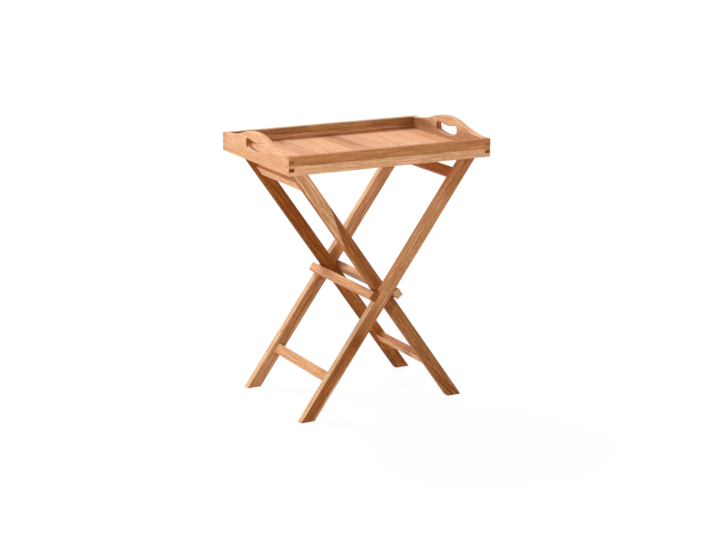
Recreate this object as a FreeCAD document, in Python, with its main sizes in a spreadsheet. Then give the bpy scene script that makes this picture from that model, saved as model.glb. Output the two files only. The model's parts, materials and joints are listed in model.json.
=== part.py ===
import FreeCAD, Part
import math
import os
import re

import Sketcher

# Butlers tray table: a folding cross-legged stand that carries a lift-off tray with raised, pierced ends.
# The origin is on the ground under the middle of the table. X runs along the tray, the front is towards -Y
# and Z is up. All lengths are in millimetres.

SIZES = {
    # The rim of the tray
    "tray_length": 600,
    "tray_depth": 400,
    "rim_base_height": 673,  # from the ground to the lower edge of the rim
    "rail_height": 49,
    "rail_thickness": 16,
    "end_thickness": 16,
    "finger_count": 5,  # fingers over the height of a corner joint
    "top_round": 2,
    # The raised ends and their hand-holes
    "hump_rise": 31,
    "shoulder_length": 4,  # of the level stretch at each corner of an end
    "crest_radius": 240,  # of the arc over the top of the hump
    "hole_span": 79,  # between the centres of the hole's two round ends
    "hole_height": 23,
    "hole_bend_radius": 145,
    "hole_lift": 41,  # from the lower edge of the rim to the middle of the hole
    "grip_bevel": 3,
    # The floor boards
    "slat_count": 11,
    "slat_thickness": 8,
    "slat_gap": 0.3,
    "slat_bevel": 0.6,
    "floor_lift": 10,  # from the lower edge of the rim to the underside of the floor
    "groove_depth": 6,
    "groove_room": 0.5,  # between the floor's edge and the bottom of the groove
    "groove_play": 0.2,  # above the floor's edge, inside the groove
    "floor_edge_thickness": 5,  # of the rebated edge that sits in the groove
    "floor_edge_play": 0.3,  # between the rebate's shoulder and the rim
    "tongue_thickness": 3,
    "tongue_length": 4,
    "tongue_play": 0.2,
    # The legs
    "foot_spread": 465,  # between the centre lines of the legs at the ground
    "leg_top_inset": 26,  # from the inner face of a tray end to the centre line of a leg's top
    "leg_side_play": 7.5,  # between a tray rail and the outer leg behind it
    "leg_width": 34,
    "leg_thickness": 21,
    "leg_gap": 1.1,  # between an outer and an inner leg
    "leg_round": 1.5,
    # The top rails and the low stretchers, cut from one section
    "brace_width": 28,
    "brace_thickness": 18,
    "brace_round": 1.5,
    "top_brace_reach": 371.5,  # along the leg, from the pivot to the middle of the rail
    "low_brace_reach": 271,
    "tenon_width": 20,
    "tenon_thickness": 8,
    "tenon_length": 14,
    "mortise_room": 1,  # between the tenon's end and the bottom of its mortise
    "glue_line": 0.05,
    # The stop bars and their dowels
    "bar_width": 24,
    "bar_thickness": 20,
    "bar_round": 2.5,
    "stop_clearance": 0.2,
    "dowel_diameter": 8,
    "dowel_reach": 14,  # into the bar, and as far into the leg
    "dowel_room": 1,
    # The pivots
    "bolt_diameter": 8,
    "bolt_head_diameter": 13,
    "bolt_head_thickness": 4,
    "bolt_thread_diameter": 6,
    "bolt_thread_spare": 0.5,  # thread that stands out past the nut
    "socket_across": 4,
    "socket_depth": 2.5,
    "head_play": 0.5,
    "pivot_clearance": 0.05,
    "pivot_end_play": 0.1,
    "plug_thickness": 5,
    "washer_thickness": 1,
    "washer_diameter": 20,
    "washer_bore": 8.4,
    "nut_across": 10,
    "nut_thickness": 5,
    "nut_recess_diameter": 15,
    "nut_recess_depth": 12,
    # How far a cut runs past the face that it opens
    "cut_overrun": 1,
}

FRONT = -1
BACK = 1
LEANS_RIGHT = 1
LEANS_LEFT = -1
ALL_CORNERS = (0, 1, 2, 3)
HEXAGON = 6

# Places worked out from the driving sizes. Inner faces of the rim:
RIM_X = "(tray_length / 2 - end_thickness)"
RIM_Y = "(tray_depth / 2 - rail_thickness)"
FINGER = "(rail_height / finger_count)"
GROOVE_TOP = "(floor_lift + floor_edge_thickness + groove_play)"
HUMP_SPAN = "(tray_depth - 2 * shoulder_length)"
FLOOR_X = f"({RIM_X} + groove_depth - groove_room)"
FLOOR_Y = f"({RIM_Y} + groove_depth - groove_room)"
SLAT_PITCH = f"(2 * {FLOOR_X} / slat_count)"
REBATE = "(groove_depth - groove_room + floor_edge_play)"

# A leg's centre line runs from the ground to the underside of the floor. Two such lines cross at the pivot.
LEG_TOP = "(rim_base_height + floor_lift)"
FOOT_X = "(foot_spread / 2)"
TOP_X = f"({RIM_X} - leg_top_inset)"
LEG_RUN = f"({FOOT_X} + {TOP_X})"
LEG_LENGTH = f"sqrt({LEG_TOP} ^ 2 + {LEG_RUN} ^ 2)"
PIVOT_HEIGHT = f"({LEG_TOP} * {FOOT_X} / {LEG_RUN})"
BELOW_PIVOT = f"({LEG_LENGTH} * {FOOT_X} / {LEG_RUN})"
ABOVE_PIVOT = f"({LEG_LENGTH} * {TOP_X} / {LEG_RUN})"
LEAN = f"atan2({LEG_RUN}; {LEG_TOP})"
LEVEL_CUT_SLOPE = f"({LEG_RUN} / {LEG_TOP})"

# Middle planes of the legs, and the outer face of the whole stand.
OUTER_Y = f"({RIM_Y} - leg_side_play - leg_thickness / 2)"
INNER_Y = f"({OUTER_Y} - leg_thickness - leg_gap)"
STAND_Y = f"({OUTER_Y} + leg_thickness / 2)"

# A stop bar starts where the edges of the crossing legs meet.
BAR_TOP = f"(-leg_width / 2 * {LEVEL_CUT_SLOPE} - stop_clearance)"
BAR_MIDDLE = f"({BAR_TOP} - bar_width / 2)"

# The bore for a bolt's head, and depths along a pivot from the outer face of the outer leg.
HEAD_BORE = "(bolt_head_diameter + 2 * head_play)"
HEAD_BORE_DEPTH = "(plug_thickness + bolt_head_thickness)"
INNER_LEG_BACK = "(2 * leg_thickness + leg_gap)"
NUT_SEAT = f"({INNER_LEG_BACK} - nut_recess_depth + pivot_end_play)"

doc = FreeCAD.newDocument("ButlersTrayTable")
nodes = []


def make_sheet():
    sheet = doc.addObject("Spreadsheet::Sheet", "Sizes")
    for row, (name, size) in enumerate(SIZES.items(), start=1):
        sheet.set(f"A{row}", name)
        sheet.set(f"B{row}", str(size))
        sheet.setAlias(f"B{row}", name)
    doc.recompute()
    return sheet


sizes = make_sheet()


def linked(text):
    """Turns the size names in an expression into references to the sheet's cells."""
    return re.sub(r"[a-z_]+", lambda word: f"Sizes.{word[0]}" if word[0] in SIZES else word[0], text)


def value(text):
    return float(sizes.evalExpression(linked(text)))


def new_body(name, x="0", y="0", z="0", axis=None, angle="0"):
    """Starts a piece whose place, and turn about an axis, follow the sizes."""
    body = doc.addObject("PartDesign::Body", name)
    body.Label = name
    body.AllowCompound = True
    if axis:
        body.Placement = FreeCAD.Placement(FreeCAD.Vector(), FreeCAD.Rotation(axis, 1))
        body.setExpression("Placement.Rotation.Angle", linked(angle))
    for letter, place in zip("xyz", (x, y, z)):
        body.setExpression(f"Placement.Base.{letter}", linked(place))
    nodes.append(body)
    return body


def origin_plane(body, role):
    return next(feature for feature in body.Origin.OriginFeatures if feature.Role == role)


def new_sketch(body, name, role, place="0"):
    """Opens a sketch on one of the body's own planes, moved to a place along the axis across that plane."""
    sketch = body.newObject("Sketcher::SketchObject", name)
    sketch.AttachmentSupport = [(origin_plane(body, role), "")]
    sketch.MapMode = "FlatFace"
    towards = "-1" if role == "XZ_Plane" else "1"
    sketch.setExpression("AttachmentOffset.Base.z", linked(f"{towards} * ({place})"))
    return sketch


def tie(sketch, kind, geometry, point, text):
    """Holds one coordinate of a sketch point at an expression, measured from the sketch's origin."""
    if text == "0":
        axis = -2 if kind == "DistanceX" else -1
        sketch.addConstraint(Sketcher.Constraint("PointOnObject", geometry, point, axis))
        return
    index = sketch.addConstraint(Sketcher.Constraint(kind, -1, 1, geometry, point, value(text)))
    sketch.setExpression(f"Constraints[{index}]", linked(text))


def round_edge(start, end, centre, turn):
    """Gives an arc, and which of its ends is the start: arcs are stored anticlockwise."""
    first, last = (start, end) if turn > 0 else (end, start)
    angles = [math.atan2(point.y - centre.y, point.x - centre.x) for point in (first, last)]
    circle = Part.Circle(centre, FreeCAD.Vector(0, 0, 1), (start - centre).Length)
    ends = (1, 2) if turn > 0 else (2, 1)
    return Part.ArcOfCircle(circle, *angles), ends


def draw_outline(sketch, outline):
    """Draws a closed outline. A point is (x, y), or (x, y, centre x, centre y, turn) where the edge that
    leaves it is round, with turn +1 for anticlockwise."""
    corners = [FreeCAD.Vector(value(point[0]), value(point[1]), 0) for point in outline]
    edges = []
    for index, point in enumerate(outline):
        start, end = corners[index], corners[(index + 1) % len(outline)]
        if len(point) == 2:
            edges.append((sketch.addGeometry(Part.LineSegment(start, end)), 1, 2))
            continue
        centre = FreeCAD.Vector(value(point[2]), value(point[3]), 0)
        arc, ends = round_edge(start, end, centre, point[4])
        edges.append((sketch.addGeometry(arc), *ends))
    for index, point in enumerate(outline):
        edge, start, end = edges[index]
        following, following_start, _ = edges[(index + 1) % len(outline)]
        sketch.addConstraint(Sketcher.Constraint("Coincident", edge, end, following, following_start))
        tie(sketch, "DistanceX", edge, start, point[0])
        tie(sketch, "DistanceY", edge, start, point[1])
        if len(point) > 2:
            chord = corners[(index + 1) % len(outline)] - corners[index]
            upright = abs(chord.y) > abs(chord.x)
            tie(sketch, "DistanceX" if upright else "DistanceY", edge, 3, point[2] if upright else point[3])


def draw_circle(sketch, x, y, diameter):
    centre = FreeCAD.Vector(value(x), value(y), 0)
    circle = sketch.addGeometry(Part.Circle(centre, FreeCAD.Vector(0, 0, 1), value(diameter) / 2))
    if x == "0" and y == "0":
        sketch.addConstraint(Sketcher.Constraint("Coincident", circle, 3, -1, 1))
    else:
        tie(sketch, "DistanceX", circle, 3, x)
        tie(sketch, "DistanceY", circle, 3, y)
    index = sketch.addConstraint(Sketcher.Constraint("Diameter", circle, value(diameter)))
    sketch.setExpression(f"Constraints[{index}]", linked(diameter))


def box_outline(x0, y0, x1, y1):
    return [(x0, y0), (x1, y0), (x1, y1), (x0, y1)]


def rounded_box(x0, y0, x1, y1, radius, round_corners=ALL_CORNERS):
    """Outline of a box with some corners rounded, counted from (x0, y0) along its first side."""
    across = 1 if value(x1) > value(x0) else -1
    up = 1 if value(y1) > value(y0) else -1
    inward = [(across, up), (-across, up), (-across, -up), (across, -up)]
    outline = []
    for corner, (x, y) in enumerate(box_outline(x0, y0, x1, y1)):
        if corner not in round_corners:
            outline.append((x, y))
            continue
        centre_x = f"{x} + {inward[corner][0]} * {radius}"
        centre_y = f"{y} + {inward[corner][1]} * {radius}"
        on_sides = [(x, centre_y), (centre_x, y)]
        if corner % 2:
            on_sides.reverse()
        outline.append((*on_sides[0], centre_x, centre_y, across * up))
        outline.append(on_sides[1])
    return outline


def hexagon_outline(across_flats):
    """Regular hexagon about the sketch's origin, with two flats level."""
    corner_radius = f"{across_flats} / 2 / cos(180 / {HEXAGON})"
    turns = [side * 360 / HEXAGON for side in range(HEXAGON)]
    return [(f"{corner_radius} * cos({turn})", f"{corner_radius} * sin({turn})") for turn in turns]


def pad(body, sketch, length):
    """Thickens a sketch by half the length to each side of its plane."""
    feature = body.newObject("PartDesign::Pad", f"{sketch.Name}_pad")
    feature.Profile = sketch
    feature.SideType = "Symmetric"
    feature.setExpression("Length", linked(length))
    doc.recompute()
    return feature


def cut(body, sketch, depth=None):
    """Cuts half the depth to each side of the sketch's plane, or right through, and proves that it cut."""
    before = body.Shape.Volume
    feature = body.newObject("PartDesign::Pocket", f"{sketch.Name}_cut")
    feature.Profile = sketch
    feature.SideType = "Symmetric"
    if depth:
        feature.setExpression("Length", linked(depth))
    else:
        feature.Type = "ThroughAll"
    doc.recompute()
    if not body.Shape.Volume < before:
        raise RuntimeError(f"{sketch.Name} cut nothing from {body.Label}")
    return feature


def sunk_sketch(body, name, role, face, inward, depth):
    """Opens a sketch half way down a cut that starts at a face and runs past it by the overrun."""
    return new_sketch(body, name, role, f"{face} + {inward} * ({depth} - cut_overrun) / 2")


def sink(body, sketch, depth):
    return cut(body, sketch, f"{depth} + cut_overrun")


def dress(body, name, kind, measure, size, chosen):
    """Adds a fillet or a chamfer to the edges of the body that the test picks."""
    base = body.Tip
    picked = [f"Edge{index}" for index, edge in enumerate(base.Shape.Edges, start=1) if chosen(edge)]
    feature = body.newObject(kind, name)
    feature.Base = (base, picked)
    feature.setExpression(measure, linked(size))
    doc.recompute()


def ease(body, name, radius, chosen):
    dress(body, name, "PartDesign::Fillet", "Radius", radius, chosen)


def bevel(body, name, size, chosen):
    dress(body, name, "PartDesign::Chamfer", "Size", size, chosen)


def mirror_to_back(body):
    """Repeats a front piece at the back of the stand, as a second solid."""
    feature = body.newObject("PartDesign::Mirrored", f"{body.Name}_pair")
    feature.Originals = [body.Tip]
    feature.MirrorPlane = (origin_plane(body, "XZ_Plane"), [""])
    body.Tip = feature
    doc.recompute()


def make_tray_rail(name, turn):
    """Front or back rail: a grooved section along X, with sockets for the fingers of the ends."""
    rail = new_body(name, z="rim_base_height", axis=FreeCAD.Vector(0, 0, 1), angle=turn)
    outer, inner = "-tray_depth / 2", f"-{RIM_Y}"
    groove = f"{inner} - groove_depth"
    shoulder = "rail_height - top_round"
    section = new_sketch(rail, f"{name}_section", "YZ_Plane")
    draw_outline(section, [
        (outer, "0"),
        (inner, "0"),
        (inner, "floor_lift"),
        (groove, "floor_lift"),
        (groove, GROOVE_TOP),
        (inner, GROOVE_TOP),
        (inner, shoulder, f"{inner} - top_round", shoulder, 1),
        (f"{inner} - top_round", "rail_height"),
        (f"{outer} + top_round", "rail_height", f"{outer} + top_round", shoulder, 1),
        (outer, shoulder),
    ])
    pad(rail, section, "tray_length")
    sockets = new_sketch(rail, f"{name}_sockets", "XZ_Plane")
    for finger in range(1, SIZES["finger_count"], 2):
        for side in ("-1", "1"):
            near, far = f"{side} * {RIM_X}", f"{side} * (tray_length / 2 + cut_overrun)"
            draw_outline(sockets, box_outline(near, f"{finger} * {FINGER}", far, f"{finger + 1} * {FINGER}"))
    cut(rail, sockets)


def hump_outline():
    """Outline of an end: level shoulders that sweep up to a hump, through two arcs a side that meet smoothly."""
    half, shoulder, crest = "tray_depth / 2", "rail_height", "(rail_height + hump_rise)"
    foot = f"({HUMP_SPAN} / 2)"
    both_radii = f"(({foot} ^ 2 + hump_rise ^ 2) / (2 * hump_rise))"
    above, below = f"{shoulder} + {both_radii} - crest_radius", f"{crest} - crest_radius"
    crest_share = f"(crest_radius / {both_radii})"
    bend = f"({foot} * {crest_share})"
    bend_height = f"({crest} - hump_rise * {crest_share})"
    return [
        (f"-{half}", "0"),
        (half, "0"),
        (half, shoulder),
        (foot, shoulder, foot, above, -1),
        (bend, bend_height, "0", below, 1),
        (f"-{bend}", bend_height, f"-{foot}", above, -1),
        (f"-{foot}", shoulder),
        (f"-{half}", shoulder),
    ]


def hand_hole_outline():
    """Outline of a hand-hole: a slot bent downwards in the middle, with round ends."""
    bend_centre = "(hole_lift + hole_bend_radius)"
    sine = "(hole_span / 2 / hole_bend_radius)"
    cosine = f"sqrt(1 - {sine} ^ 2)"
    end_height = f"({bend_centre} - hole_bend_radius * {cosine})"
    low, high = "(hole_bend_radius + hole_height / 2)", "(hole_bend_radius - hole_height / 2)"
    return [
        (f"-{low} * {sine}", f"{bend_centre} - {low} * {cosine}", "0", bend_centre, 1),
        (f"{low} * {sine}", f"{bend_centre} - {low} * {cosine}", "hole_span / 2", end_height, 1),
        (f"{high} * {sine}", f"{bend_centre} - {high} * {cosine}", "0", bend_centre, -1),
        (f"-{high} * {sine}", f"{bend_centre} - {high} * {cosine}", "-hole_span / 2", end_height, 1),
    ]


def around_hole(box, highest):
    """True if an edge of a tray end, given by its box, lies on the rim of the hand-hole."""
    reach = value("(hole_span + hole_height) / 2")
    lowest = value("hole_lift - hole_height")
    return max(-box.YMin, box.YMax) <= reach and lowest < box.ZMin and box.ZMax < highest


def make_tray_end(name, turn):
    """Left or right end: a humped board with a hand-hole, a stopped groove and finger sockets."""
    end = new_body(name, z="rim_base_height", axis=FreeCAD.Vector(0, 0, 1), angle=turn)
    middle = "-(tray_length - end_thickness) / 2"
    board = new_sketch(end, f"{name}_board", "YZ_Plane", middle)
    draw_outline(board, hump_outline())
    pad(end, board, "end_thickness")
    half_thickness = value("end_thickness / 2")
    half_height = value("rail_height / 2")
    ease(end, f"{name}_top_edges", "top_round",
         lambda edge: edge.BoundBox.XLength < half_thickness and edge.BoundBox.ZMin > half_height)

    hole = new_sketch(end, f"{name}_hole", "YZ_Plane", middle)
    draw_outline(hole, hand_hole_outline())
    cut(end, hole, "end_thickness + 2 * cut_overrun")
    below_crest = value("rail_height + hump_rise - 2 * top_round")
    bevel(end, f"{name}_grip", "grip_bevel",
          lambda edge: edge.BoundBox.XLength < half_thickness and around_hole(edge.BoundBox, below_crest))

    groove = sunk_sketch(end, f"{name}_groove", "YZ_Plane", f"-{RIM_X}", -1, "groove_depth")
    groove_end = f"({RIM_Y} + groove_depth)"
    draw_outline(groove, box_outline(f"-{groove_end}", "floor_lift", groove_end, GROOVE_TOP))
    sink(end, groove, "groove_depth")

    sockets = new_sketch(end, f"{name}_sockets", "YZ_Plane", middle)
    for finger in range(0, SIZES["finger_count"], 2):
        low = f"{finger} * {FINGER}" if finger else "-cut_overrun"
        last = finger == SIZES["finger_count"] - 1
        high = f"{finger + 1} * {FINGER}" + (" + cut_overrun" if last else "")
        for side in ("-1", "1"):
            far = f"{side} * (tray_depth / 2 + cut_overrun)"
            draw_outline(sockets, box_outline(f"{side} * {RIM_Y}", low, far, high))
    cut(end, sockets, "end_thickness + 2 * cut_overrun")


def slat_outline(first, last):
    """Section of a floor board: a tongue on its right edge, a groove in its left and bevelled arrises. The
    first and last boards have a rebated outer edge instead, to suit the groove in the rim."""
    right = SLAT_PITCH if last else f"({SLAT_PITCH} - slat_gap)"
    tongue_low = "(slat_thickness - tongue_thickness) / 2"
    tongue_high = "(slat_thickness + tongue_thickness) / 2"
    tip = f"{right} + tongue_length"
    slot = "tongue_length + tongue_play"
    bevel_start = "slat_thickness - slat_bevel"
    edge = "floor_edge_thickness"
    outline = [("0", "0"), (right, "0")]
    if last:
        shoulder = f"{right} - {REBATE}"
        outline += [(right, edge), (shoulder, edge), (shoulder, "slat_thickness")]
    else:
        outline += [(right, tongue_low), (tip, tongue_low), (tip, tongue_high), (right, tongue_high)]
        outline += [(right, bevel_start), (f"{right} - slat_bevel", "slat_thickness")]
    if first:
        return outline + [(REBATE, "slat_thickness"), (REBATE, edge), ("0", edge)]
    slot_low, slot_high = f"{tongue_low} - tongue_play / 2", f"{tongue_high} + tongue_play / 2"
    outline += [("slat_bevel", "slat_thickness"), ("0", bevel_start)]
    return outline + [("0", slot_high), (slot, slot_high), (slot, slot_low), ("0", slot_low)]


def make_slats():
    count = SIZES["slat_count"]
    for index in range(count):
        name = f"tray_slat_{index + 1:02d}"
        slat = new_body(name, x=f"{index} * {SLAT_PITCH} - {FLOOR_X}", z="rim_base_height + floor_lift")
        section = new_sketch(slat, f"{name}_section", "XZ_Plane")
        draw_outline(section, slat_outline(index == 0, index == count - 1))
        pad(slat, section, f"2 * {FLOOR_Y}")
        rebates = new_sketch(slat, f"{name}_rebates", "YZ_Plane")
        for side in ("-1", "1"):
            near, far = f"{side} * ({FLOOR_Y} - {REBATE})", f"{side} * ({FLOOR_Y} + cut_overrun)"
            top = "slat_thickness + cut_overrun"
            draw_outline(rebates, box_outline(near, "floor_edge_thickness", far, top))
        cut(slat, rebates)


def frame_body(name, hand, y="0"):
    """Starts a piece of one frame: its own Z runs up the leg from the pivot, and its Y is the stand's."""
    return new_body(name, y=y, z=PIVOT_HEIGHT, axis=FreeCAD.Vector(0, 1, 0), angle=f"{hand} * {LEAN}")


def make_leg(name, hand, side, middle):
    """A leg with level ends, two mortises, the pivot's bore and the dowel hole for the stop bar."""
    leg = frame_body(name, hand, f"{side} * {middle}")
    outline = new_sketch(leg, f"{name}_outline", "XZ_Plane")
    half = "leg_width / 2"
    climb = f"{hand} * {half} * {LEVEL_CUT_SLOPE}"
    draw_outline(outline, [
        (f"-{half}", f"-{BELOW_PIVOT} - {climb}"),
        (half, f"-{BELOW_PIVOT} + {climb}"),
        (half, f"{ABOVE_PIVOT} + {climb}"),
        (f"-{half}", f"{ABOVE_PIVOT} - {climb}"),
    ])
    pad(leg, outline, "leg_thickness")
    long_edge = value(f"{LEG_LENGTH} / 2")
    ease(leg, f"{name}_long_edges", "leg_round", lambda edge: edge.Length > long_edge)

    outer_face, inner_face = f"{side} * leg_thickness / 2", f"{-side} * leg_thickness / 2"
    mortise_depth = "(tenon_length + mortise_room)"
    mortises = sunk_sketch(leg, f"{name}_mortises", "XZ_Plane", inner_face, side, mortise_depth)
    across = "tenon_thickness / 2 + glue_line"
    along = "tenon_width / 2 + glue_line"
    for reach in ("top_brace_reach", "-low_brace_reach"):
        low, high = f"{reach} - ({along})", f"{reach} + {along}"
        draw_outline(mortises, box_outline(f"-({across})", low, across, high))
    sink(leg, mortises, mortise_depth)

    bore = new_sketch(leg, f"{name}_bore", "XZ_Plane")
    draw_circle(bore, "0", "0", "bolt_diameter + 2 * pivot_clearance")
    cut(leg, bore)
    if hand == LEANS_RIGHT:
        head_bore = sunk_sketch(leg, f"{name}_head_bore", "XZ_Plane", outer_face, -side, HEAD_BORE_DEPTH)
        draw_circle(head_bore, "0", "0", HEAD_BORE)
        sink(leg, head_bore, HEAD_BORE_DEPTH)
    else:
        recess = sunk_sketch(leg, f"{name}_nut_recess", "XZ_Plane", inner_face, side, "nut_recess_depth")
        draw_circle(recess, "0", "0", "nut_recess_diameter")
        sink(leg, recess, "nut_recess_depth")

    dowel_depth = "(dowel_reach + dowel_room)"
    dowel_hole = sunk_sketch(leg, f"{name}_dowel_hole", "YZ_Plane", f"{-hand} * {half}", hand, dowel_depth)
    draw_circle(dowel_hole, "0", BAR_MIDDLE, "dowel_diameter + 2 * glue_line")
    sink(leg, dowel_hole, dowel_depth)


def make_brace(name, hand, middle, reach):
    """A top rail or a low stretcher between the legs of one frame, with a tenon at each end."""
    brace = frame_body(name, hand)
    shoulders = f"2 * ({middle} - leg_thickness / 2)"
    section = new_sketch(brace, f"{name}_section", "XZ_Plane")
    across, along = "brace_thickness / 2", "brace_width / 2"
    draw_outline(section, rounded_box(
        f"-{across}", f"{reach} - {along}", across, f"{reach} + {along}", "brace_round"))
    pad(brace, section, shoulders)
    tenon = new_sketch(brace, f"{name}_tenons", "XZ_Plane")
    low, high = f"{reach} - tenon_width / 2", f"{reach} + tenon_width / 2"
    draw_outline(tenon, box_outline("-tenon_thickness / 2", low, "tenon_thickness / 2", high))
    pad(brace, tenon, f"{shoulders} + 2 * tenon_length")


def make_stop_bar(name, hand, middle):
    """The bar across the edges of a frame's legs that the other frame's legs come to rest on."""
    bar = frame_body(name, hand)
    seat = f"{-hand} * leg_width / 2"
    section = new_sketch(bar, f"{name}_section", "XZ_Plane")
    front, low = f"{seat} - {hand} * bar_thickness", f"{BAR_TOP} - bar_width"
    outer_corners = (1, 2)
    draw_outline(section, rounded_box(seat, low, front, BAR_TOP, "bar_round", outer_corners))
    pad(bar, section, f"2 * {STAND_Y}")
    depth = "(dowel_reach + dowel_room)"
    holes = sunk_sketch(bar, f"{name}_dowel_holes", "YZ_Plane", seat, -hand, depth)
    for side in ("-1", "1"):
        draw_circle(holes, f"{side} * {middle}", BAR_MIDDLE, "dowel_diameter + 2 * glue_line")
    sink(bar, holes, depth)


def make_dowels(name, hand, middle):
    dowels = frame_body(name, hand)
    ends = new_sketch(dowels, f"{name}_ends", "YZ_Plane", f"{-hand} * leg_width / 2")
    draw_circle(ends, f"-{middle}", BAR_MIDDLE, "dowel_diameter")
    pad(dowels, ends, "2 * dowel_reach")
    mirror_to_back(dowels)


def make_frame(prefix, hand, middle):
    make_leg(f"{prefix}_front_leg", hand, FRONT, middle)
    make_leg(f"{prefix}_back_leg", hand, BACK, middle)
    make_brace(f"{prefix}_top_rail", hand, middle, "top_brace_reach")
    make_brace(f"{prefix}_low_stretcher", hand, middle, "-low_brace_reach")
    make_stop_bar(f"{prefix}_stop_bar", hand, middle)
    make_dowels(f"{prefix}_bar_dowels", hand, middle)


def pivot_place(depth):
    """Y of a place on the front pivot, counted inwards from the outer face of the outer leg."""
    return f"{depth} - {STAND_Y}"


def make_bolts():
    bolts = new_body("pivot_bolts", z=PIVOT_HEIGHT)
    head, under_head = pivot_place("plug_thickness"), pivot_place(HEAD_BORE_DEPTH)
    shoulder, tip = pivot_place(NUT_SEAT), pivot_place(f"{NUT_SEAT} + nut_thickness + bolt_thread_spare")
    profile = new_sketch(bolts, "pivot_bolts_profile", "YZ_Plane")
    draw_outline(profile, [
        (head, "0"),
        (tip, "0"),
        (tip, "bolt_thread_diameter / 2"),
        (shoulder, "bolt_thread_diameter / 2"),
        (shoulder, "bolt_diameter / 2"),
        (under_head, "bolt_diameter / 2"),
        (under_head, "bolt_head_diameter / 2"),
        (head, "bolt_head_diameter / 2"),
    ])
    turned = bolts.newObject("PartDesign::Revolution", "pivot_bolts_turned")
    turned.Profile = profile
    turned.ReferenceAxis = (profile, ["H_Axis"])
    doc.recompute()
    socket = sunk_sketch(bolts, "pivot_bolts_socket", "XZ_Plane", head, 1, "socket_depth")
    draw_outline(socket, hexagon_outline("socket_across"))
    drive = sink(bolts, socket, "socket_depth")
    pair = bolts.newObject("PartDesign::Mirrored", "pivot_bolts_pair")
    pair.Originals = [turned, drive]
    pair.MirrorPlane = (origin_plane(bolts, "XZ_Plane"), [""])
    bolts.Tip = pair
    doc.recompute()


def make_pivot_pair(name, depth, thickness, draw):
    """Two flat pieces, front and back, that lie on the pivots and start at a depth."""
    pieces = new_body(name, z=PIVOT_HEIGHT)
    face = new_sketch(pieces, f"{name}_face", "XZ_Plane", pivot_place(f"{depth} + {thickness} / 2"))
    draw(face)
    pad(pieces, face, thickness)
    mirror_to_back(pieces)


def draw_washer(sketch):
    draw_circle(sketch, "0", "0", "washer_diameter")
    draw_circle(sketch, "0", "0", "washer_bore")


def draw_nut(sketch):
    draw_outline(sketch, hexagon_outline("nut_across"))
    draw_circle(sketch, "0", "0", "bolt_thread_diameter + 2 * glue_line")


def draw_head_plug(sketch):
    draw_circle(sketch, "0", "0", f"{HEAD_BORE} - 2 * glue_line")


def draw_nut_plug(sketch):
    draw_circle(sketch, "0", "0", "nut_recess_diameter - 2 * glue_line")


def prove(body):
    """Stops the build if any piece failed, is empty or isn't sound."""
    shape = body.Shape
    if shape.isNull() or not shape.isValid() or not shape.Solids:
        raise RuntimeError(f"{body.Label} has no sound solid")


make_tray_rail("tray_front_rail", "0")
make_tray_rail("tray_back_rail", "180")
make_tray_end("tray_left_end", "0")
make_tray_end("tray_right_end", "180")
make_slats()
make_frame("outer", LEANS_RIGHT, OUTER_Y)
make_frame("inner", LEANS_LEFT, INNER_Y)
make_bolts()
make_pivot_pair("outer_pivot_plugs", "0", "plug_thickness", draw_head_plug)
make_pivot_pair("inner_pivot_plugs", f"{INNER_LEG_BACK} - plug_thickness", "plug_thickness", draw_nut_plug)
make_pivot_pair("pivot_washers", "leg_thickness", "washer_thickness", draw_washer)
make_pivot_pair("pivot_nuts", NUT_SEAT, "nut_thickness", draw_nut)

doc.recompute()
failed = [item.Label for item in doc.Objects if {"Invalid", "Error"} & set(item.State)]
if failed:
    raise RuntimeError("failed: " + ", ".join(failed))
for node in nodes:
    prove(node)

os.makedirs("parts", exist_ok=True)
for node in nodes:
    node.Shape.exportStep(f"parts/{node.Label}.step")
print(f"{len(nodes)} pieces written")
print(f"pivot height {value(PIVOT_HEIGHT):.3f}, lean from upright {value(LEAN):.3f} degrees")
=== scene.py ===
import json
import math
import random
from dataclasses import dataclass

import bpy
from mathutils import Matrix, Vector


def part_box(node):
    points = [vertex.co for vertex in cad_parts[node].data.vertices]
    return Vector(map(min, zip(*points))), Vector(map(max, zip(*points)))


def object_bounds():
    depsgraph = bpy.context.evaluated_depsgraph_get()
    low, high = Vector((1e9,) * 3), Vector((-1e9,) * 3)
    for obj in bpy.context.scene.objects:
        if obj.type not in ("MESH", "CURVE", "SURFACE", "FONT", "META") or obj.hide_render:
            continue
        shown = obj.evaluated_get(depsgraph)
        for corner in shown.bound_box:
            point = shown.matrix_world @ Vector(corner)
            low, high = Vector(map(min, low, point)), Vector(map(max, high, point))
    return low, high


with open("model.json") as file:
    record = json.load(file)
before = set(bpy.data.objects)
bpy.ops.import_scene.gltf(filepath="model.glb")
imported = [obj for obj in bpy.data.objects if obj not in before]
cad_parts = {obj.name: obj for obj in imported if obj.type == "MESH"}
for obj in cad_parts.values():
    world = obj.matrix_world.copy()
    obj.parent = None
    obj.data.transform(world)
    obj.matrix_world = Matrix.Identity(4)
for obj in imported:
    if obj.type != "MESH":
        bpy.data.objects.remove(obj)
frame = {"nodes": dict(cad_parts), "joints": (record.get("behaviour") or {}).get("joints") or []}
cad_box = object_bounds()
nodes = frame["nodes"]

# The table is oiled teak. Lengths are in metres, and colours are written as sRGB values from 0 to 255.
X_AXIS = Vector((1, 0, 0))
Y_AXIS = Vector((0, 1, 0))
Z_AXIS = Vector((0, 0, 1))
PIVOT = Vector(next(joint["pos_m"] for joint in frame["joints"] if joint["name"] == "stand_fold"))
LEVEL_TOLERANCE = 0.001  # how near to a level a corner of a leg counts as on it

# The camera, as fitted to the picture of the table.
CAMERA_PLACE = Vector((-2.35175, -4.33774, 1.63167))
CAMERA_YAW = math.radians(28.568)
CAMERA_PITCH = math.radians(-14.582)
CAMERA_ROLL = math.radians(0.487)
CAMERA_LENS = 93.74
CAMERA_SENSOR = 36.0

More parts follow.
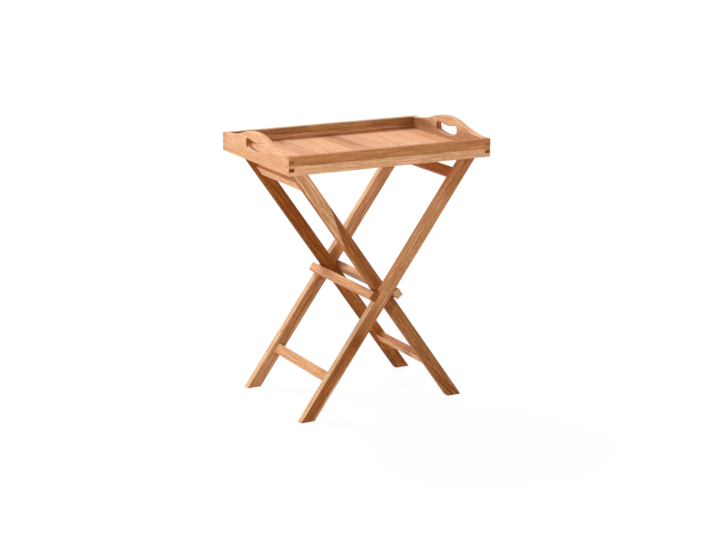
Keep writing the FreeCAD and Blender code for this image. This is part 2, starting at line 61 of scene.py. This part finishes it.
# The light: a soft far lamp above and behind, a faint one in front, a near one at the front left, level
# with the tray's rim, and an even surround. A far lamp is (direction towards it, strength, width).
FAR_LAMPS = {
    "top_lamp": (Vector((-0.10, 0.65, 0.75)), 2.57, math.radians(22)),
    "front_lamp": (Vector((0.0, -1.0, 0.08)), 0.24, math.radians(60)),
}
NEAR_LAMP_TOWARDS = Vector((-1.0, -0.5, 0.006))
NEAR_LAMP_DISTANCE = 4.0
NEAR_LAMP_RADIUS = 0.042
NEAR_LAMP_STRENGTH = 1.15  # where it reaches the middle of the rim, in a far lamp's measure
SURROUND_STRENGTH = 0.42
SURROUND_SEEN = 1.0  # its strength where it is seen, which is white
FLOOR_HALF = 40.0
FLOOR_COLOUR = (190, 189, 187)
FLOOR_GLOW = 1.045
FLOOR_GLOW_SHARE = 0.92  # how much of what is seen of the floor is its glow, which keeps the shadow faint


@dataclass
class Grain:
    """A noise in a material: its size across and along the grain, its detail, and how rough that is.

    A noise that darkens the wood does so between the two values in edges, by its share of the figure.
    """

    size: tuple
    detail: int
    roughness: float = 0.5
    edges: tuple = None
    share: float = 0.0


# The figure of teak: patches of colour, mottle, dark lines, fibres, pores and short flecks.
PATCHES = Grain((0.010, 0.050), 3, edges=(0.28, 0.72), share=0.20)
MOTTLE = Grain((0.008, 0.013), 2, edges=(0.28, 0.72), share=0.10)
LINES = Grain((0.0030, 0.10), 3, edges=(0.34, 0.66), share=0.38)
FIBRES = Grain((0.0013, 0.045), 4, roughness=0.6, edges=(0.34, 0.66), share=0.18)
PORES = Grain((0.0005, 0.006), 1, edges=(0.60, 0.72), share=0.16)
FLECKS = Grain((0.0024, 0.014), 2, edges=(0.52, 0.68), share=0.22)
FIGURE_MIDDLE = 0.45
NOISE_MIDDLE = 0.5
LOG_REACH = 50  # how far from the middle of the log a board may be cut, in sizes of the noise

# Its growth rings, which wander about a pith outside the board. Each ring darkens slowly and then pales.
WANDER = Grain((0.09, 0.30), 2)
RING_WIDTH = 0.0048
RING_WANDER = 6.0
RING_DARKENS = (0.2, 0.85)
RING_PALES = (1.0, 0.88)
RING_SHARE = 0.20
PITH_REACH = 0.075
PITH_TURN = (-0.1, 0.35)  # in half turns

# The lines along which a board's colour changes waver, and are soft.
WAVER = Grain((1.0, 0.075), 3)
WAVER_REACH = 0.008
SAPWOOD_AND_BAND_EDGE = 0.002
LONGEST_FADE = 0.03

# How squarely a face must look in a direction for that direction's tone to begin and to be full, and the
# same for the painted shade in the bevelled end of a hand-hole and for the bend at a worn edge.
FACE_EDGES = (0.50, 0.90)
HOLE_SHADE_EDGES = (0.10, 0.35)
WORN_EDGES = (0.995, 0.90)
EDGE_ROUND = 0.0009
EDGE_SAMPLES = 4

# Its gloss and relief.
WOOD_ROUGHNESS = (0.50, 0.66)
NOISE_SPREAD = (0.3, 0.7)
FIBRE_RELIEF = 0.6
PORE_RELIEF = 0.5
RING_RELIEF = 0.3
BUMP_STRENGTH = 0.35
BUMP_HEIGHT = 0.00025

# How the figure scales a board's tone: its palest and darkest wood, its end grain and its worn edges.
PALE_SHARE = (1.18, 1.28, 1.45, 1)
DARK_SHARE = (0.74, 0.64, 0.47, 1)
END_SHARE = (0.36, 0.23, 0.12, 1)
WORN_SHARE = (1.08, 1.10, 1.13, 1)

# How a streak scales it: sapwood, heartwood, old heartwood, a smoky vein and a reddish one. The heartwood
# and smoky shares also make painted shade.
SAP = (1.30, 1.36, 1.50, 1)
HEART_AND_SHADE = (0.76, 0.62, 0.45, 1)
DEEP = (0.60, 0.41, 0.21, 1)
SMOKE_AND_SHADE = (0.70, 0.62, 0.54, 1)
RUST = (1.00, 0.80, 0.54, 1)


def srgb(red, green, blue):
    """Gives a colour written from 0 to 255 as the linear values that shaders take."""
    def linear(value):
        value /= 255
        return value / 12.92 if value <= 0.04045 else ((value + 0.055) / 1.055) ** 2.4
    return (linear(red), linear(green), linear(blue), 1.0)


def mixed(first, second, share):
    """Gives a tone between two others."""
    return [one + (other - one) * share for one, other in zip(first, second)]


# The tones of the boards, from sapwood to old heartwood.
IVORY = srgb(251, 189, 142)
BONE = srgb(237, 194, 155)
CREAM = srgb(239, 181, 137)
STRAW = srgb(226, 166, 120)
AMBER = srgb(220, 150, 97)
OAT = srgb(190, 144, 98)
BROWN = srgb(190, 121, 67)
UMBER = srgb(166, 93, 36)
DUSK = srgb(96, 56, 26)

# How far each floor board is from cream to brown, from left to right, and where in the rim's height the
# dark finger ends at the tray's front corners lie.
FLOOR_BROWN_SHARES = (0.0, 0.0, 0.35, 0.05, 0.0, 0.45, 0.25, 0.08, 0.0, 0.1, 0.4)
LOWER_FINGER = 0.27

# The steel of the pivots, with its turning marks in sizes across and along a bolt.
STEEL_NODES = ("pivot_bolts", "pivot_washers", "pivot_nuts")
STEEL_DARK = srgb(150, 150, 152)
STEEL_PALE = srgb(205, 205, 206)
STEEL_ROUGHNESS = (0.28, 0.45)
TURNING_MARKS = Grain((0.004, 0.0003), 3)


class Tree:
    """Builds a node tree from sockets and plain values."""

    def __init__(self, tree):
        self.nodes = tree.nodes
        self.links = tree.links

    def add(self, kind, **settings):
        node = self.nodes.new(kind)
        for name, setting in settings.items():
            setattr(node, name, setting)
        return node

    def feed(self, socket, source):
        if isinstance(source, bpy.types.NodeSocket):
            self.links.new(source, socket)
        else:
            socket.default_value = source

    def math(self, operation, *sources):
        node = self.add("ShaderNodeMath", operation=operation)
        for socket, source in zip(node.inputs, sources):
            self.feed(socket, source)
        return node.outputs[0]

    def vector(self, operation, *sources):
        node = self.add("ShaderNodeVectorMath", operation=operation)
        for socket, source in zip(node.inputs, sources):
            self.feed(socket, source)
        return node.outputs

    def dot(self, vector, direction):
        return self.vector("DOT_PRODUCT", vector, direction)["Value"]

    def combine(self, x, y, z):
        node = self.add("ShaderNodeCombineXYZ")
        for socket, source in zip(node.inputs, (x, y, z)):
            self.feed(socket, source)
        return node.outputs[0]

    def noise(self, vector, grain):
        node = self.add("ShaderNodeTexNoise")
        self.feed(node.inputs["Vector"], vector)
        node.inputs["Scale"].default_value = 1.0
        node.inputs["Detail"].default_value = grain.detail
        node.inputs["Roughness"].default_value = grain.roughness
        return node.outputs["Fac"]

    def ramp(self, source, low, high, to_low=0.0, to_high=1.0):
        node = self.add("ShaderNodeMapRange", interpolation_type="SMOOTHSTEP")
        for socket, value in zip(node.inputs, (source, low, high, to_low, to_high)):
            self.feed(socket, value)
        return node.outputs[0]

    def mix(self, share, first, second, blend="MIX"):
        node = self.add("ShaderNodeMix", data_type="RGBA", blend_type=blend)
        self.feed(node.inputs["Factor"], share)
        self.feed(node.inputs["A"], first)
        self.feed(node.inputs["B"], second)
        return node.outputs["Result"]

    def scaled(self, tone, share):
        return self.mix(1.0, tone, share, blend="MULTIPLY")


@dataclass
class SapwoodAndLitBand:
    """The paler part of a board beside a line through two places, each (along, across); on the right end,
    painted light.
    """

    side: int
    first: tuple
    second: tuple
    tone: tuple


@dataclass
class Streak:
    """Wood of another shade between two places, each (along, across).

    It has a half width and a share by which it scales the tone, and lies under the board's pale side or
    over it.
    Some streaks are painted shade.
    """

    first: tuple
    second: tuple
    half_width: float
    share: tuple
    over: bool = False


@dataclass
class Board:
    """How a piece was sawn: the run of its grain, its breadth, where both start, and its colours.

    Figure scales how strongly the grain shows. Four kinds of face may have a tone of their own: the ends,
    with streaks in it, the flanks across the breadth, only below a given place along the grain where one
    is given, the back end of a hand-hole, in a painted shade, and the far side. On some pieces the flank's
    tone is painted shade, on others painted highlight.
    """

    along: Vector
    across: Vector
    origin: Vector
    tone: tuple
    figure: float = 1.0
    gloss: float = 0.2
    end_tone: tuple = None
    end_streaks: tuple = ()
    flank_tone: tuple = None
    # the place along the grain above which a flank keeps the board's tone, as painted shade
    flank_shaded_above: float = None
    # a painted shade in the back end of a hand-hole
    hole_shade_tone: tuple = None
    far_tone: tuple = None
    streaks: tuple = ()
    sapwood_and_lit_band: SapwoodAndLitBand = None

    @property
    def through(self):
        return self.along.cross(self.across)


def new_material(name):
    material = bpy.data.materials.new(name)
    material.use_nodes = True
    return material, Tree(material.node_tree)


def stretched(tree, places, size, shift):
    """Coordinates whose unit is one size across the grain and one along it."""
    across, through, along = places
    return tree.combine(
        tree.math("MULTIPLY_ADD", across, 1 / size[0], shift[0]),
        tree.math("MULTIPLY_ADD", through, 1 / size[0], shift[1]),
        tree.math("MULTIPLY_ADD", along, 1 / size[1], shift[2]),
    )


def beside_line(tree, places, first, second, waver):
    """How far across the grain a place lies from a line through two places."""
    across, _, along = places
    slope = (second[1] - first[1]) / (second[0] - first[0])
    line = tree.math("MULTIPLY_ADD", along, slope, first[1] - slope * first[0])
    return tree.math("MULTIPLY_ADD", waver, WAVER_REACH, tree.math("SUBTRACT", across, line))


def streaked(tree, places, waver, tone, streak):
    """The tone with one streak laid over it, which fades out at its ends."""
    along = places[2]
    offset = tree.math("ABSOLUTE", beside_line(tree, places, streak.first, streak.second, waver))
    low, high = sorted((streak.first[0], streak.second[0]))
    fade = min(LONGEST_FADE, (high - low) / 2)
    begun = tree.ramp(along, low - fade, low + fade)
    within = tree.math("MULTIPLY", begun, tree.ramp(along, high + fade, high - fade))
    share = tree.math("MULTIPLY", tree.ramp(offset, streak.half_width, 0.0), within)
    return tree.mix(share, tone, tree.scaled(tone, streak.share))


def growth_rings(tree, places, draw, wander):
    """The dark late wood of the growth rings, which circle a pith outside the board."""
    across, through, _ = places
    angle = draw.uniform(*PITH_TURN) * math.pi
    from_pith = tree.combine(
        tree.math("ADD", across, PITH_REACH * math.cos(angle)),
        tree.math("ADD", through, PITH_REACH * math.sin(angle)),
        0.0,
    )
    rings = tree.math("DIVIDE", tree.vector("LENGTH", from_pith)["Value"], RING_WIDTH)
    phase = tree.math("FRACT", tree.math("MULTIPLY_ADD", wander, RING_WANDER, rings))
    return tree.math("MULTIPLY", tree.ramp(phase, *RING_DARKENS), tree.ramp(phase, *RING_PALES))


def squarely(tree, normal, direction):
    """1 on the faces that look along a direction, either way."""
    return tree.ramp(tree.math("ABSOLUTE", tree.dot(normal, direction)), *FACE_EDGES)


def board_tone(tree, board, places, normal, waver):
    """The colour of a board before its figure: its streaks, pale side and face tones, some of them painted
    light and shade.
    """
    tone = board.tone
    for streak in board.streaks:
        if not streak.over:
            tone = streaked(tree, places, waver, tone, streak)
    if board.sapwood_and_lit_band:
        beyond = beside_line(tree, places, board.sapwood_and_lit_band.first, board.sapwood_and_lit_band.second, waver)
        share = tree.ramp(tree.math("MULTIPLY", beyond, board.sapwood_and_lit_band.side), -SAPWOOD_AND_BAND_EDGE, SAPWOOD_AND_BAND_EDGE)
        tone = tree.mix(share, tone, board.sapwood_and_lit_band.tone)
    for streak in board.streaks:
        if streak.over:
            tone = streaked(tree, places, waver, tone, streak)
    if board.far_tone:
        away = tree.ramp(tree.dot(normal, board.through), *FACE_EDGES)
        tone = tree.mix(away, tone, board.far_tone)
    if board.flank_tone:
        share = squarely(tree, normal, board.across)
        # Above the given place the flank keeps the board's tone, which stands for painted shade.
        if board.flank_shaded_above is not None:
            below = tree.ramp(places[2], board.flank_shaded_above, board.flank_shaded_above - LONGEST_FADE)
            share = tree.math("MULTIPLY", share, below)
        tone = tree.mix(share, tone, board.flank_tone)
    end_tone = board.end_tone or [value * share for value, share in zip(board.tone, END_SHARE)]
    for streak in board.end_streaks:
        end_tone = streaked(tree, places, waver, end_tone, streak)
    tone = tree.mix(squarely(tree, normal, board.along), tone, end_tone)
    # The back end and lower bevel of a hand-hole get a painted shade.
    if board.hole_shade_tone:
        forwards = tree.dot(normal, -board.along)
        bevelled = tree.math("ABSOLUTE", tree.dot(normal, board.through))
        share = tree.ramp(tree.math("MULTIPLY", forwards, bevelled), *HOLE_SHADE_EDGES)
        tone = tree.mix(share, tone, board.hole_shade_tone)
    return tone


def teak(name, board):
    """The material of one wooden piece, cut from its own place in the log."""
    material, tree = new_material(name)
    shader = tree.nodes["Principled BSDF"]
    draw = random.Random(name)
    coordinates = tree.add("ShaderNodeTexCoord")
    spot = tree.vector("SUBTRACT", coordinates.outputs["Object"], board.origin)["Vector"]
    places = [tree.dot(spot, axis) for axis in (board.across, board.through, board.along)]

    def noise(grain):
        shift = [draw.uniform(-LOG_REACH, LOG_REACH) for _ in range(3)]
        return tree.noise(stretched(tree, places, grain.size, shift), grain)

    patches = noise(PATCHES)
    mottle = noise(MOTTLE)
    lines = noise(LINES)
    fibres = noise(FIBRES)
    pores = tree.ramp(noise(PORES), *PORES.edges)
    rings = growth_rings(tree, places, draw, noise(WANDER))
    waver = tree.math("SUBTRACT", noise(WAVER), NOISE_MIDDLE)
    flecks = tree.ramp(noise(FLECKS), *FLECKS.edges)

    layers = (
        (tree.ramp(patches, *PATCHES.edges), PATCHES.share),
        (tree.ramp(mottle, *MOTTLE.edges), MOTTLE.share),
        (tree.ramp(lines, *LINES.edges), LINES.share),
        (rings, RING_SHARE),
        (tree.ramp(fibres, *FIBRES.edges), FIBRES.share),
        (pores, PORES.share),
        (flecks, FLECKS.share),
    )
    darkness = 0.0
    for layer, share in layers:
        darkness = tree.math("MULTIPLY_ADD", layer, share, darkness)
    if board.figure != 1.0:
        contrast = tree.math("SUBTRACT", darkness, FIGURE_MIDDLE)
        darkness = tree.math("MULTIPLY_ADD", contrast, board.figure, FIGURE_MIDDLE)
    shade = tree.mix(darkness, PALE_SHARE, DARK_SHARE)

    rounded = tree.add("ShaderNodeBevel", samples=EDGE_SAMPLES)
    rounded.inputs["Radius"].default_value = EDGE_ROUND
    bend = tree.dot(rounded.outputs[0], tree.add("ShaderNodeNewGeometry").outputs["Normal"])
    shade = tree.mix(tree.ramp(bend, *WORN_EDGES), shade, tree.scaled(shade, WORN_SHARE))
    tone = board_tone(tree, board, places, coordinates.outputs["Normal"], waver)
    tree.feed(shader.inputs["Base Color"], tree.scaled(tone, shade))

    tree.feed(shader.inputs["Roughness"], tree.ramp(fibres, *NOISE_SPREAD, *WOOD_ROUGHNESS))
    shader.inputs["Specular IOR Level"].default_value = board.gloss
    raised = tree.math("MULTIPLY", fibres, FIBRE_RELIEF)
    sunken = tree.math("MULTIPLY", pores, PORE_RELIEF)
    relief = tree.math("MULTIPLY_ADD", rings, RING_RELIEF, tree.math("SUBTRACT", raised, sunken))
    bump = tree.add("ShaderNodeBump")
    bump.inputs["Strength"].default_value = BUMP_STRENGTH
    bump.inputs["Distance"].default_value = BUMP_HEIGHT
    tree.feed(bump.inputs["Height"], relief)
    tree.feed(bump.inputs["Normal"], rounded.outputs[0])
    tree.feed(shader.inputs["Normal"], bump.outputs[0])
    return material


def steel(name):
    """Zinc-plated steel with fine turning marks round the bolt."""
    material, tree = new_material(name)
    shader = tree.nodes["Principled BSDF"]
    spot = tree.add("ShaderNodeTexCoord").outputs["Object"]
    places = [tree.dot(spot, axis) for axis in (X_AXIS, Z_AXIS, Y_AXIS)]
    marks = tree.noise(stretched(tree, places, TURNING_MARKS.size, (0, 0, 0)), TURNING_MARKS)
    shader.inputs["Metallic"].default_value = 1.0
    tree.feed(shader.inputs["Base Color"], tree.mix(marks, STEEL_DARK, STEEL_PALE))
    tree.feed(shader.inputs["Roughness"], tree.ramp(marks, *NOISE_SPREAD, *STEEL_ROUGHNESS))
    return material


def leg_run(node):
    """The direction of a leg, from the middle of its foot to the middle of its top."""
    low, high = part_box(node)
    corners = [vertex.co for vertex in nodes[node].data.vertices]
    ends = []
    for level in (low.z, high.z):
        xs = [corner.x for corner in corners if abs(corner.z - level) < LEVEL_TOLERANCE]
        ends.append(Vector(((min(xs) + max(xs)) / 2, 0, level)))
    return (ends[1] - ends[0]).normalized()


def middle(node):
    low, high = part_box(node)
    return (low + high) / 2


def rim_rails():
    """The tray's front and back, whose grain runs from left to right."""
    front = Board(X_AXIS, Z_AXIS, middle("tray_front_rail"), mixed(AMBER, BROWN, 0.35), figure=1.4)
    front.end_tone = STRAW
    front.flank_tone = mixed(AMBER, BROWN, 0.55)
    front.sapwood_and_lit_band = SapwoodAndLitBand(-1, (-0.282, -0.001), (0.292, -0.003), IVORY)
    front.streaks = (
        Streak((-0.260, 0.002), (-0.100, 0.001), 0.003, SMOKE_AND_SHADE),
        Streak((0.225, 0.003), (0.300, 0.005), 0.006, SAP),
    )
    back = Board(X_AXIS, Z_AXIS, middle("tray_back_rail"), mixed(OAT, BROWN, 0.1), figure=1.4)
    back.end_tone = STRAW
    back.flank_tone = mixed(OAT, BONE, 0.35)
    back.sapwood_and_lit_band = SapwoodAndLitBand(-1, (-0.200, 0.007), (0.270, 0.000), IVORY)
    floor_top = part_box("tray_slat_06")[1].z - back.origin.z
    back.streaks = (
        # The next two streaks are painted shade: in the back right corner, and along the foot of the rail
        # at the floor.
        Streak((0.245, 0.0), (0.310, 0.0), 0.060, HEART_AND_SHADE, over=True),
        Streak((-0.300, floor_top), (0.300, floor_top), 0.008, HEART_AND_SHADE, over=True),
        Streak((-0.270, 0.009), (0.060, 0.011), 0.006, RUST),
        Streak((0.070, 0.008), (0.240, 0.009), 0.006, RUST),
    )
    return {"tray_front_rail": front, "tray_back_rail": back}


def rim_ends():
    """The tray's humped ends, whose grain runs from front to back."""
    left = Board(Y_AXIS, Z_AXIS, middle("tray_left_end"), mixed(IVORY, STRAW, 0.5), figure=0.9)
    left.end_tone = mixed(UMBER, OAT, 0.07)
    left.sapwood_and_lit_band = SapwoodAndLitBand(1, (-0.200, 0.012), (0.200, -0.030), mixed(IVORY, BONE, 0.25))
    right = Board(Y_AXIS, Z_AXIS, middle("tray_right_end"), mixed(BONE, OAT, 0.2), figure=1.2)
    right.end_tone = mixed(UMBER, BROWN, 0.95)
    right.far_tone = mixed(STRAW, AMBER, 0.3)
    # The paler band along the top of this end is painted light, the lit top of its hump.
    right.sapwood_and_lit_band = SapwoodAndLitBand(1, (-0.200, 0.012), (0.200, 0.016), mixed(BONE, OAT, 0.1))
    # These streaks darken the back part and the back corner of the inner face: painted shade.
    right.streaks = (
        Streak((0.080, 0.005), (0.150, 0.005), 0.060, SMOKE_AND_SHADE),
        Streak((0.150, 0.005), (0.220, 0.005), 0.060, HEART_AND_SHADE),
    )
    low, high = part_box("tray_front_rail")
    for end in (left, right):
        end.flank_tone = CREAM
        # a painted shade in the back end of each hand-hole
        end.hole_shade_tone = mixed(UMBER, DUSK, 0.4)
        finger = low.z + (high.z - low.z) * LOWER_FINGER - end.origin.z
        end.end_streaks = (Streak((-0.250, finger), (-0.150, finger), 0.012, DEEP),)
    return {"tray_left_end": left, "tray_right_end": right}


def floor_boards():
    """The tray's floor, whose grain runs from front to back, with a painted shade at the foot of the back
    rail.
    """
    found = {}
    # A painted shade across the back end of every board, where the back rail shades the floor.
    painted_rail_shade = Streak((0.176, 0.0), (0.200, 0.0), 0.200, HEART_AND_SHADE)
    for number, share in enumerate(FLOOR_BROWN_SHARES, start=1):
        name = f"tray_slat_{number:02}"
        found[name] = Board(Y_AXIS, X_AXIS, middle(name), mixed(CREAM, BROWN, share), figure=0.9)
        found[name].flank_tone = UMBER
        found[name].streaks = (painted_rail_shade,)
    found["tray_slat_03"].streaks += (Streak((0.110, -0.003), (0.180, 0.008), 0.014, SMOKE_AND_SHADE),)
    found["tray_slat_04"].streaks += (Streak((-0.040, 0.002), (0.010, 0.009), 0.006, SMOKE_AND_SHADE),)
    found["tray_slat_06"].streaks += (Streak((0.000, 0.014), (0.200, 0.006), 0.024, SMOKE_AND_SHADE),)
    found["tray_slat_08"].streaks += (
        Streak((-0.035, 0.007), (-0.012, 0.013), 0.006, SMOKE_AND_SHADE),
        Streak((0.080, 0.018), (0.105, 0.022), 0.005, SMOKE_AND_SHADE),
    )
    return found


def stand_boards():
    """The legs run along their lean, and the rails, stretchers and stop bars from front to back."""
    found = {}
    for side in ("outer", "inner"):
        run = leg_run(f"{side}_front_leg")
        breadth = Y_AXIS.cross(run)
        for place in ("front", "back"):
            found[f"{side}_{place}_leg"] = Board(run, breadth, PIVOT, AMBER, figure=1.9)
        for part in ("top_rail", "low_stretcher", "stop_bar"):
            found[f"{side}_{part}"] = Board(Y_AXIS, run, PIVOT, STRAW, figure=1.3)
        found[f"{side}_bar_dowels"] = Board(breadth, run, PIVOT, AMBER)
        found[f"{side}_pivot_plugs"] = Board(run, breadth, PIVOT, STRAW)
    colour_outer_frame(found)
    colour_inner_frame(found)
    return found


def colour_outer_frame(found):
    """Places on a leg are measured from the pivot, upwards along it."""
    leg = found["outer_front_leg"]
    leg.tone = mixed(AMBER, STRAW, 0.5)
    # Its pale narrow side is a painted highlight below the pivot; above it the side keeps the leg's tone,
    # a painted shade of the tray.
    leg.flank_tone = mixed(BONE, OAT, 0.35)
    leg.flank_shaded_above = 0.0
    leg.sapwood_and_lit_band = SapwoodAndLitBand(1, (-0.130, 0.017), (-0.390, 0.0085), CREAM)
    leg.streaks = (
        # painted shade at the top of the leg, under the tray
        Streak((0.300, 0.0), (0.460, 0.0), 0.035, HEART_AND_SHADE),
        Streak((0.405, -0.002), (0.417, -0.002), 0.004, DEEP),
        Streak((-0.040, 0.0), (-0.170, 0.0), 0.040, HEART_AND_SHADE),
        Streak((-0.130, -0.004), (-0.440, -0.004), 0.050, DEEP),
    )
    leg = found["outer_back_leg"]
    leg.tone = mixed(STRAW, BROWN, 0.28)
    # Its pale narrow side is a painted highlight.
    leg.flank_tone = mixed(BONE, OAT, 0.15)
    leg.streaks = (
        Streak((0.100, 0.0), (-0.020, 0.0), 0.020, RUST),
        Streak((-0.020, 0.0), (-0.240, 0.0), 0.016, HEART_AND_SHADE),
    )
    found["outer_top_rail"].tone = mixed(BROWN, UMBER, 0.55)
    found["outer_low_stretcher"].tone = mixed(STRAW, OAT, 0.35)
    found["outer_stop_bar"].end_tone = UMBER


def colour_inner_frame(found):
    """The back leg is dull, so that its narrow side mirrors little of the white floor."""
    leg = found["inner_front_leg"]
    leg.figure = 3.2
    leg.tone = BROWN
    leg.flank_tone = BROWN
    leg.sapwood_and_lit_band = SapwoodAndLitBand(-1, (0.165, -0.017), (0.300, 0.017), mixed(IVORY, STRAW, 0.4))
    leg.streaks = (
        Streak((0.010, 0.002), (0.300, 0.008), 0.024, HEART_AND_SHADE),
        Streak((-0.270, -0.012), (-0.400, 0.010), 0.004, DEEP),
        Streak((-0.310, -0.016), (-0.410, 0.001), 0.004, DEEP),
    )
    leg = found["inner_back_leg"]
    leg.figure = 3.8
    leg.gloss = 0.03
    leg.tone = mixed(UMBER, OAT, 0.1)
    leg.flank_tone = mixed(UMBER, DUSK, 0.3)
    leg.streaks = (
        Streak((-0.070, 0.0), (-0.450, 0.0), 0.060, SAP),
        Streak((-0.270, 0.0), (-0.450, 0.0), 0.012, SAP),
    )
    found["inner_pivot_plugs"].tone = UMBER
    found["inner_top_rail"].tone = IVORY
    # The darker top of the rail is painted shade under the tray.
    found["inner_top_rail"].flank_tone = STRAW
    found["inner_low_stretcher"].tone = IVORY
    # The darker top of the stretcher is painted shade of the tray above it.
    found["inner_low_stretcher"].flank_tone = mixed(BROWN, UMBER, 0.55)
    found["inner_stop_bar"].tone = BONE
    found["inner_stop_bar"].flank_tone = mixed(STRAW, OAT, 0.5)
    found["inner_stop_bar"].end_tone = mixed(CREAM, OAT, 0.2)


def give(node, material):
    slots = nodes[node].data.materials
    slots.clear()
    slots.append(material)


def dress():
    """Gives each wooden piece its own board, and the bolts, washers and nuts their steel."""
    boards = rim_rails() | rim_ends() | floor_boards() | stand_boards()
    for node, board in boards.items():
        give(node, teak(f"teak_{node}", board))
    metal = steel("pivot_steel")
    for node in STEEL_NODES:
        give(node, metal)


def shown(tree):
    """1 for a ray that shows a surface, straight or mirrored, and 0 for one that only carries light."""
    path = tree.add("ShaderNodeLightPath")
    seen = tree.math("MAXIMUM", path.outputs["Is Camera Ray"], path.outputs["Is Glossy Ray"])
    return tree.math("MAXIMUM", seen, path.outputs["Is Transmission Ray"])


def make_floor():
    """A wide pale floor that looks white and still takes the table's shadow."""
    mesh = bpy.data.meshes.new("studio_floor")
    signs = ((-1, -1), (1, -1), (1, 1), (-1, 1))
    corners = [(x * FLOOR_HALF, y * FLOOR_HALF, cad_box[0].z) for x, y in signs]
    mesh.from_pydata(corners, [], [(0, 1, 2, 3)])
    floor = bpy.data.objects.new("studio_floor", mesh)
    bpy.context.scene.collection.objects.link(floor)
    material, tree = new_material("studio_floor")
    tree.nodes.remove(tree.nodes["Principled BSDF"])
    matt = tree.add("ShaderNodeBsdfDiffuse")
    matt.inputs["Color"].default_value = srgb(*FLOOR_COLOUR)
    glow = tree.add("ShaderNodeEmission")
    glow.inputs["Strength"].default_value = FLOOR_GLOW
    surface = tree.add("ShaderNodeMixShader")
    tree.feed(surface.inputs[0], tree.math("MULTIPLY", shown(tree), FLOOR_GLOW_SHARE))
    tree.feed(surface.inputs[1], matt.outputs[0])
    tree.feed(surface.inputs[2], glow.outputs[0])
    tree.feed(tree.nodes["Material Output"].inputs["Surface"], surface.outputs[0])
    mesh.materials.append(material)


def make_surround():
    """An even surround that is white where it is seen."""
    world = bpy.data.worlds.new("studio")
    bpy.context.scene.world = world
    world.use_nodes = True
    tree = Tree(world.node_tree)
    background = tree.nodes["Background"]
    background.inputs["Color"].default_value = (1, 1, 1, 1)
    strength = tree.ramp(shown(tree), 0, 1, SURROUND_STRENGTH, SURROUND_SEEN)
    tree.feed(background.inputs["Strength"], strength)


def make_far_lamps():
    for name, (towards, strength, width) in FAR_LAMPS.items():
        lamp = bpy.data.objects.new(name, bpy.data.lights.new(name, "SUN"))
        lamp.data.energy = strength
        lamp.data.angle = width
        lamp.rotation_mode = "QUATERNION"
        lamp.rotation_quaternion = towards.to_track_quat("Z", "Y")
        bpy.context.scene.collection.objects.link(lamp)


def make_near_lamp():
    """A small lamp whose power spreads over a sphere that reaches the middle of the tray's rim."""
    lamp = bpy.data.objects.new("near_lamp", bpy.data.lights.new("near_lamp", "POINT"))
    rim = Vector((0, 0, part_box("tray_front_rail")[1].z))
    lamp.location = rim + NEAR_LAMP_TOWARDS.normalized() * NEAR_LAMP_DISTANCE
    lamp.data.energy = NEAR_LAMP_STRENGTH * 4 * math.pi * NEAR_LAMP_DISTANCE ** 2
    lamp.data.shadow_soft_size = NEAR_LAMP_RADIUS
    bpy.context.scene.collection.objects.link(lamp)


def make_camera():
    camera = bpy.data.objects.new("camera", bpy.data.cameras.new("camera"))
    camera.data.lens = CAMERA_LENS
    camera.data.sensor_width = CAMERA_SENSOR
    turn = Matrix.Rotation(-CAMERA_YAW, 4, "Z") @ Matrix.Rotation(math.pi / 2 + CAMERA_PITCH, 4, "X")
    camera.matrix_world = Matrix.Translation(CAMERA_PLACE) @ turn @ Matrix.Rotation(CAMERA_ROLL, 4, "Z")
    bpy.context.scene.collection.objects.link(camera)
    bpy.context.scene.camera = camera


dress()
make_floor()
make_surround()
make_far_lamps()
make_near_lamp()
make_camera()
bpy.context.scene.view_settings.view_transform = "Standard"
